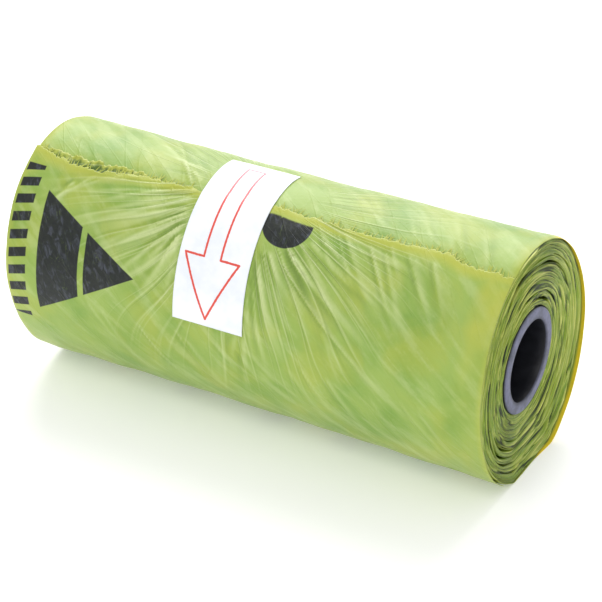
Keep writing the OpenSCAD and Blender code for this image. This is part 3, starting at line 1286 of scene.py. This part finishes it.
# %% The ply that tore further back
PLY_FROM_X, PLY_TO_X = -29.7, -14.5
PLY_BARED = 1.9        # how far it tore back beyond the free end's edge, in mm
PLY_REACH_A = 15.0     # how far it runs on below the free end, in degrees
PLY_SUNK, PLY_T = 0.022, 0.02
t = np.linspace(0.0, 1.0, 30)[:, None]
x = np.linspace(PLY_FROM_X, PLY_TO_X, 120)[None, :] + t * 0.0
bared = np.sin(np.clip((x - PLY_FROM_X) / (PLY_TO_X - PLY_FROM_X), 0, 1) * math.pi) ** 0.5
ply_a = torn_edge(x) + (0.5 - PLY_BARED * bared - teeth(x, 51) * 1.3) / arc_mm(1.0)
a = ply_a + (torn_edge(x) + PLY_REACH_A - ply_a) * t
s, from_edge = arc_mm(a), arc_mm(a - ply_a)
lift = (0.03 + 0.22 * rumple(x, s, 1.3, 52)) * np.exp(-from_edge / 1.4) * bared
ply_r = outer_face(x, a) - PLY_SUNK + lift
# painted shade: the ply darkens where it runs in under the free end, and shade is a painted shadow in the
# gap under the tear
fold = -smooth_step((from_edge - 0.5) / 0.4)
rim = np.clip(1.25 - from_edge, 0.0, 1.0)
shade = bared * np.clip(from_edge * 1.2 - 0.2 + 0.9 * (rumple(x, s, 0.9, 54) - 0.5), 0.0, 0.85)
ply = thin_sheet(
    "bag_01_torn_ply", on_roll(ply_r, x, a), on_roll(ply_r - PLY_T, x, a), plain_film,
    vectors=[("strip_mm", strip_places(x + 9.0, a))],
    numbers=[("fold", fold), ("rim", rim), ("shade", shade)],
)
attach(ply, "free_end")

# %% [markdown]
# ## Ties along the tear
#
# Where the perforation held, the film stretched into little ties before it broke. There are a few
# hundred of them, so Geometry Nodes place them: each is a tapered sliver of ten faces, copied to
# points along the tear, turned to the way the film was pulled and given its own length. The points
# carry two directions, out of the roll and along the pull, because a tie must lie on the film.

# %% The ties tree
TIE_SHARES = 0.35, 1.5     # the shortest and longest tie, as shares of the given length


def ties_tree():
    """A sliver on each point of a tear line, along the point's pull and with its back to its out."""
    tree, given, result = new_group(
        "GeometryNodeTree", "Torn ties",
        [("Geometry", "NodeSocketGeometry", None), ("Length", "NodeSocketFloat", 0.0006),
         ("Width", "NodeSocketFloat", 0.00016), ("Thickness", "NodeSocketFloat", 0.00002),
         ("Seed", "NodeSocketInt", 0), ("Finish", "NodeSocketMaterial", None)],
        [("Geometry", "NodeSocketGeometry", None)],
    )
    sliver = add(tree, "GeometryNodeMeshCone")
    for name, number in (("Vertices", 4), ("Side Segments", 2), ("Radius Top", 0.12),
                         ("Radius Bottom", 0.5), ("Depth", 1.0)):
        sliver.inputs[name].default_value = number
    points = add(tree, "GeometryNodeMeshToPoints", [("Mesh", given.outputs["Geometry"])])

    def direction(label):
        """The socket of a direction that each point carries."""
        made = add(tree, "GeometryNodeInputNamedAttribute", data_type="FLOAT_VECTOR")
        made.inputs["Name"].default_value = label
        return made.outputs["Attribute"]

    align = "FunctionNodeAlignRotationToVector"
    pulled = add(tree, align, [("Vector", direction("pull"))], axis="Z")
    laid_flat = [("Rotation", pulled.outputs[0]), ("Vector", direction("out"))]
    turned = add(tree, align, laid_flat, axis="Y", pivot_axis="Z")
    chance = add(tree, "FunctionNodeRandomValue", data_type="FLOAT")
    for socket, share in zip(chance.inputs[2:4], TIE_SHARES):   # the pair for plain numbers
        socket.default_value = share
    feed(tree, given.outputs["Seed"], chance.inputs["Seed"])
    length = Value(tree, given.outputs["Length"]) * Value(tree, chance.outputs[1])
    scale = vector(tree, given.outputs["Width"], given.outputs["Thickness"], length)
    copies = add(tree, "GeometryNodeInstanceOnPoints", [
        ("Points", points.outputs[0]), ("Instance", sliver.outputs["Mesh"]),
        ("Rotation", turned.outputs[0]), ("Scale", scale),
    ])
    done = finished(tree, copies.outputs[0], given.outputs["Finish"], smooth=False)
    tree.links.new(done, result.inputs["Geometry"])
    return tree


# %% Points along the tear, and the ties on them
TIES = 330             # the label hides some of these places, and no tie stands there
TIE_SPREAD = 26.0      # how much they fan out, in degrees
TIE_LENGTH, TIE_WIDTH, TIE_T = 0.85, 0.17, 0.02
chance = random.Random(17)
tie_x = np.sort(np.array([chance.uniform(-half_len + 0.3, half_len - 0.4) for _ in range(TIES)]))
tie_x = tie_x[under_label(tie_x, tie_x * 0.0 + arc_mm(18.0)) < 0.05]
spread = np.array([chance.gauss(0.0, TIE_SPREAD) for _ in tie_x])
tie_a = torn_edge(tie_x) - (teeth(tie_x, 31) - 0.16) / arc_mm(1.0)
tie_r = outer_face(tie_x, tie_a) - FILM_DRAWN_T / 2
tie_r = tie_r + edge_gap(tie_x) * 0.8 + rumple(tie_x, tie_x * 0.0, 1.3, 8) * 0.05
tie_points = on_roll(tie_r, tie_x, tie_a) * MM
turned = np.radians(tie_a)
out = np.stack([tie_x * 0.0, -np.sin(turned), np.cos(turned)], axis=-1)
back = np.stack([tie_x * 0.0, np.cos(turned), np.sin(turned)], axis=-1)
lean = np.radians(spread)[:, None]
rise = np.array([chance.uniform(-0.12, 0.10) for _ in tie_x])[:, None]
pull = back * np.cos(lean) + np.array([[1.0, 0.0, 0.0]]) * np.sin(lean) + out * rise
tear_line = bpy.data.meshes.new("tear_line")
tear_line.from_pydata(tie_points.tolist(), [], [])
for label, grid in (("out", out), ("pull", pull), ("strip_mm", strip_places(tie_x * 2.0, tie_a))):
    tear_line.attributes.new(label, "FLOAT_VECTOR", "POINT").data.foreach_set(
        "vector", grid.astype(np.float32).ravel())
tear_line.attributes.new("rim", "FLOAT", "POINT").data.foreach_set("value", [1.0] * len(tie_x))
ties = grown(
    "bag_01_torn_ties", ties_tree(), base=tear_line, Length=TIE_LENGTH * MM,
    Width=TIE_WIDTH * MM, Thickness=TIE_T * MM, Seed=5, Finish=plain_film,
)
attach(ties, "free_end")
print("ties:", len(tie_x), "faces:", len(ties.data.polygons))

# %% [markdown]
# ## The closing label
#
# A white paper label holds the free end down and shows with an arrow which way to pull. It lies over
# the step at the torn edge, so it is a grid bent to the roll and lifted a little above the film, with
# its four edges a trace lower where the glue draws them down. The arrow is one thin line. Its shape is
# symmetrical, so the material measures the distance to each of its strokes on one half only.

# %% Label finish
LABEL_WHITE = "#f3f6fb"
LABEL_SHADE = "#e6ebf2"
ARROW_RED = "#dc4a3a"
ARROW_PALER = "#d8606e"
ARROW_X = -4.25
STEM_HALF_W, HEAD_HALF_W = 1.05, 3.4
STEM_TOP_A, HEAD_BASE_A, HEAD_TIP_A = -6.0, 50.5, 79.0
STROKE_W = 0.26


def stroke(u, v, start, end):
    """Distance as a Value from the point (u, v) to a straight stroke between two (u, v) places."""
    run_u, run_v = end[0] - start[0], end[1] - start[1]
    length = math.hypot(run_u, run_v)
    from_u, from_v = u - start[0], v - start[1]
    along = (from_u * (run_u / length) + from_v * (run_v / length)).most(0.0).least(length)
    off_u = from_u - along * (run_u / length)
    off_v = from_v - along * (run_v / length)
    return (off_u * off_u + off_v * off_v).power(0.5)


def arrow_group():
    """Mask of an arrow drawn as a thin outline, from a place on the film in mm."""
    tree, given, result = new_group(
        "ShaderNodeTree", "Arrow outline",
        [("Place", "NodeSocketVector", None), ("Stroke width", "NodeSocketFloat", STROKE_W)],
        [("Ink", "NodeSocketFloat", None)],
    )
    split = add(tree, "ShaderNodeSeparateXYZ", [("Vector", given.outputs["Place"])])
    u = (Value(tree, split.outputs[0]) - ARROW_X).size()
    v = Value(tree, split.outputs[1])
    top, base, tip = (arc_mm(a) for a in (STEM_TOP_A, HEAD_BASE_A, HEAD_TIP_A))
    corners = [(0.0, top), (STEM_HALF_W, top), (STEM_HALF_W, base), (HEAD_HALF_W, base), (0.0, tip)]
    nearest = stroke(u, v, corners[0], corners[1])
    for start, end in zip(corners[1:], corners[2:]):
        nearest = nearest.least(stroke(u, v, start, end))
    uneven = (grain(tree, given.outputs["Place"], 3.5, 2.0) - 0.5) * 0.10
    width = Value(tree, given.outputs["Stroke width"]) * 0.5 + uneven
    ink = 1.0 - (nearest - width).step(-0.04, 0.04)
    tree.links.new(ink.socket, result.inputs["Ink"])
    return tree


def label_finish():
    """Glossy white paper with a red arrow, which is paler towards its tail."""
    finish, tree, shader = new_finish("label_paper", Roughness=0.38, IOR=1.48, Coat_Weight=0.2)
    place = attribute(tree, "strip_mm")
    arrow = grouped(tree, arrow_group(), Place=place)
    soft = grain(tree, place, 0.25, 3.0, 0.6).step(0.35, 0.7)
    fibre = grain(tree, along_streaks(tree, place, 20.0, 0.35), 6.0, 3.0, 0.6)
    paper = blended(tree, soft.socket, linear(LABEL_WHITE), linear(LABEL_SHADE))
    split = add(tree, "ShaderNodeSeparateXYZ", [("Vector", place)])
    # the arrow turns paler towards its tail, at the top of the roll
    paler_share = 1.0 - Value(tree, split.outputs[1]).step(arc_mm(STEM_TOP_A), arc_mm(HEAD_BASE_A - 15.0))
    red = blended(tree, paler_share.socket, linear(ARROW_RED), linear(ARROW_PALER))
    tree.links.new(blended(tree, arrow.outputs["Ink"], paper, red), shader.inputs["Base Color"])
    bump(tree, shader, fibre, 0.012)
    return finish


# %% The label
LABEL_T = 0.07
LABEL_OVER = 0.045     # what the label stands off the film at rest, in mm
u = np.linspace(-LABEL_HALF_W, LABEL_HALF_W, 61)[None, :]
a = np.linspace(LABEL_FROM_A, LABEL_TO_A, 150)[:, None] + u * 0.0
x = LABEL_X + u + print_drift(a)
x = x - tilt(x, a)
s = arc_mm(a)
edge_drop = smooth_step((a - torn_edge(x) + 5.0) / 5.0)
film_top = outer_face(x, a) - strip_t * (1.0 - edge_drop)
from_sides = LABEL_HALF_W - np.abs(u) + 0.0 * a
from_ends = np.minimum(arc_mm(a - LABEL_FROM_A), arc_mm(LABEL_TO_A - a))
puff = 0.03 * rumple(x, s, 6.0, 41) + 0.02 * smooth_step(np.minimum(from_sides, from_ends) / 1.2)
label_r = film_top + LABEL_OVER + puff + LABEL_T
label = thin_sheet(
    "closing_label_paper", on_roll(label_r, x, a), on_roll(label_r - LABEL_T, x, a), label_finish(),
    vectors=[("strip_mm", strip_places(x, a))],
)


on_outline(LABEL_TO_A)
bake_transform(label)
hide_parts("closing_label")

# %% [markdown]
# ## The core
#
# The core is a piece of thin plastic tube, cut to length on a saw. A lathe shape suits it: a profile
# of four corners with small roundings, turned about the roll's axis. The saw leaves the cut ends
# scuffed, matt and paler, while the bore stays dark, so the finish tells the two apart by how far a
# point is from the roll's middle.

# %% Core finish
CORE_CUT = "#737590"
CORE_CUT_DARK = "#545868"
CORE_BORE = "#08080c"


def core_finish():
    """Dark plastic, paler and scuffed where it was cut."""
    finish, tree, shader = new_finish("core_plastic", IOR=1.5)
    where = add(tree, "ShaderNodeTexCoord").outputs["Object"]
    split = add(tree, "ShaderNodeSeparateXYZ", [("Vector", where)])
    x, y, z = (Value(tree, output) for output in split.outputs)
    from_axis = (y * y + z * z).power(0.5)
    cut = x.size().step((core_half - 0.22) * MM, (core_half - 0.08) * MM)
    scuffs = grain(tree, where, 900.0, 4.0, 0.65)
    scored = grain(tree, vector(tree, x, y * 6.0, z * 0.8), 700.0, 2.0)
    broad = grain(tree, where, 160.0, 2.0)
    face = blended(tree, (broad * 0.5 + scuffs * 0.5).step(0.35, 0.65).socket,
                   linear(CORE_CUT), linear(CORE_CUT_DARK))
    inner_lip = 1.0 - from_axis.step((bore_r + 0.05) * MM, (bore_r + 0.45) * MM)
    face = blended(tree, (inner_lip * 0.45).socket, face, linear(CORE_BORE))
    wall = blended(tree, (scuffs * 0.15).socket, linear(CORE_BORE), linear(CORE_CUT_DARK))
    tree.links.new(blended(tree, cut.socket, wall, face), shader.inputs["Base Color"])
    rough = cut * 0.25 + scuffs * 0.2 + 0.32
    tree.links.new(rough.socket, shader.inputs["Roughness"])
    bump(tree, shader, scuffs * 0.5 + scored * 0.5, 0.03)
    return finish


# %% The core
CORE_SIDES = 144
CORE_ROUND = 0.12      # rounding of the rims in mm


def lathe(name, profile, sides, finish):
    """Turns a closed profile of (x, r) places in mm about the roll's axis."""
    mesh = bpy.data.meshes.new(name)
    turns = [2 * math.pi * i / sides for i in range(sides)]
    places = [point(x, -r * math.sin(t), r * math.cos(t)) for t in turns for x, r in profile]
    count = len(profile)
    faces = [
        (i * count + k, i * count + (k + 1) % count,
         (i + 1) % sides * count + (k + 1) % count, (i + 1) % sides * count + k)
        for i in range(sides) for k in range(count)
    ]
    mesh.from_pydata(places, [], faces)
    mesh.polygons.foreach_set("use_smooth", [True] * len(faces))
    mesh.materials.append(finish)
    mesh.update()
    made = bpy.data.objects.new(name, mesh)
    bpy.context.scene.collection.objects.link(made)
    return made


def rounded_corner(x, r, side_x, side_r):
    """Three places that round a corner of the profile, whose body lies towards side_x and side_r."""
    c = CORE_ROUND
    return [(x + side_x * c, r), (x + side_x * c * 0.3, r + side_r * c * 0.3), (x, r + side_r * c)]


wall_x = [core_half * share for share in (0.96, 0.6, 0.2, -0.2, -0.6, -0.96)]
profile = (
    [(x, core_r) for x in wall_x]
    + rounded_corner(-core_half, core_r, 1, -1)
    + rounded_corner(-core_half, bore_r, 1, 1)[::-1]
    + [(x, bore_r) for x in reversed(wall_x)]
    + rounded_corner(core_half, bore_r, -1, 1)
    + rounded_corner(core_half, core_r, -1, -1)[::-1]
)
core = lathe("core_tube_plastic", profile, CORE_SIDES, core_finish())
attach(core, "core")
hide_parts("core_tube")
print("core faces:", len(core.data.polygons))

# %% [markdown]
# ## Floor and light
#
# A plain white floor, a wide lamp behind that gives the top its long soft highlight, and a weaker one
# in front. A bright world fills the rest, and the glossy film mirrors it along the roll's edges.

# %% Floor
FLOOR_HALF = 2.0       # half its side in metres
WHITE = 1.0, 1.0, 1.0, 1.0
FLOOR_LOW, FLOOR_HIGH = "#f4f4f4", "#f9f9f9"
FLOOR_GLOW = 0.17
sides = (-1, -1), (1, -1), (1, 1), (-1, 1)
corners = [(x * FLOOR_HALF, y * FLOOR_HALF, roll_low.z) for x, y in sides]
floor_mesh = bpy.data.meshes.new("floor")
floor_mesh.from_pydata(corners, [], [(0, 1, 2, 3)])
floor = bpy.data.objects.new("floor", floor_mesh)
bpy.context.scene.collection.objects.link(floor)
floor_finish, tree, shader = new_finish("floor_white", Roughness=0.75)
where = add(tree, "ShaderNodeTexCoord").outputs["Object"]
cloud = grain(tree, where, 8.0, 3.0).step(0.3, 0.7)
whites = blended(tree, cloud.socket, linear(FLOOR_LOW), linear(FLOOR_HIGH))
tree.links.new(whites, shader.inputs["Base Color"])
shader.inputs["Emission Color"].default_value = WHITE
shader.inputs["Emission Strength"].default_value = FLOOR_GLOW
floor_mesh.materials.append(floor_finish)
floor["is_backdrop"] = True
print("floor at", round(roll_low.z / MM, 2), "mm")

# %% Lamps and world
WORLD_STRENGTH = 0.72
world = bpy.data.worlds.new("studio")
bpy.context.scene.world = world
world.use_nodes = True
sky = world.node_tree.nodes["Background"]
sky.inputs["Color"].default_value = WHITE
sky.inputs["Strength"].default_value = WORLD_STRENGTH
bpy.context.scene.view_settings.view_transform = "Standard"


def soft_lamp(name, azimuth, elevation, distance, size, watts):
    """A square area lamp that looks at the roll. Lengths in metres."""
    lamp = bpy.data.lights.new(name, "AREA")
    lamp.size, lamp.energy = size, watts
    made = bpy.data.objects.new(name, lamp)
    aim(made, direction_from(azimuth, elevation) * distance, Vector((0, 0, 0)))
    bpy.context.scene.collection.objects.link(made)
    return made


lamps = [
    soft_lamp("lamp_back", 200, 42, 0.6, 0.55, 3.7),
    soft_lamp("lamp_front", 5, 45, 0.7, 0.5, 1.4),
]
print("lamps:", [lamp.name for lamp in lamps])

# %% [markdown]
# ## Sizes and finish
#
# Both boxes, of the frame's parts and of the looks, are printed side by side.

# %% Print both boxes
boxes = {"cad": [list(corner) for corner in cad_box], "visual": [list(corner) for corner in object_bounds()]}
for name, (low, high) in boxes.items():
    print(name, "box in mm:", [round((b - a) / MM, 2) for a, b in zip(low, high)])
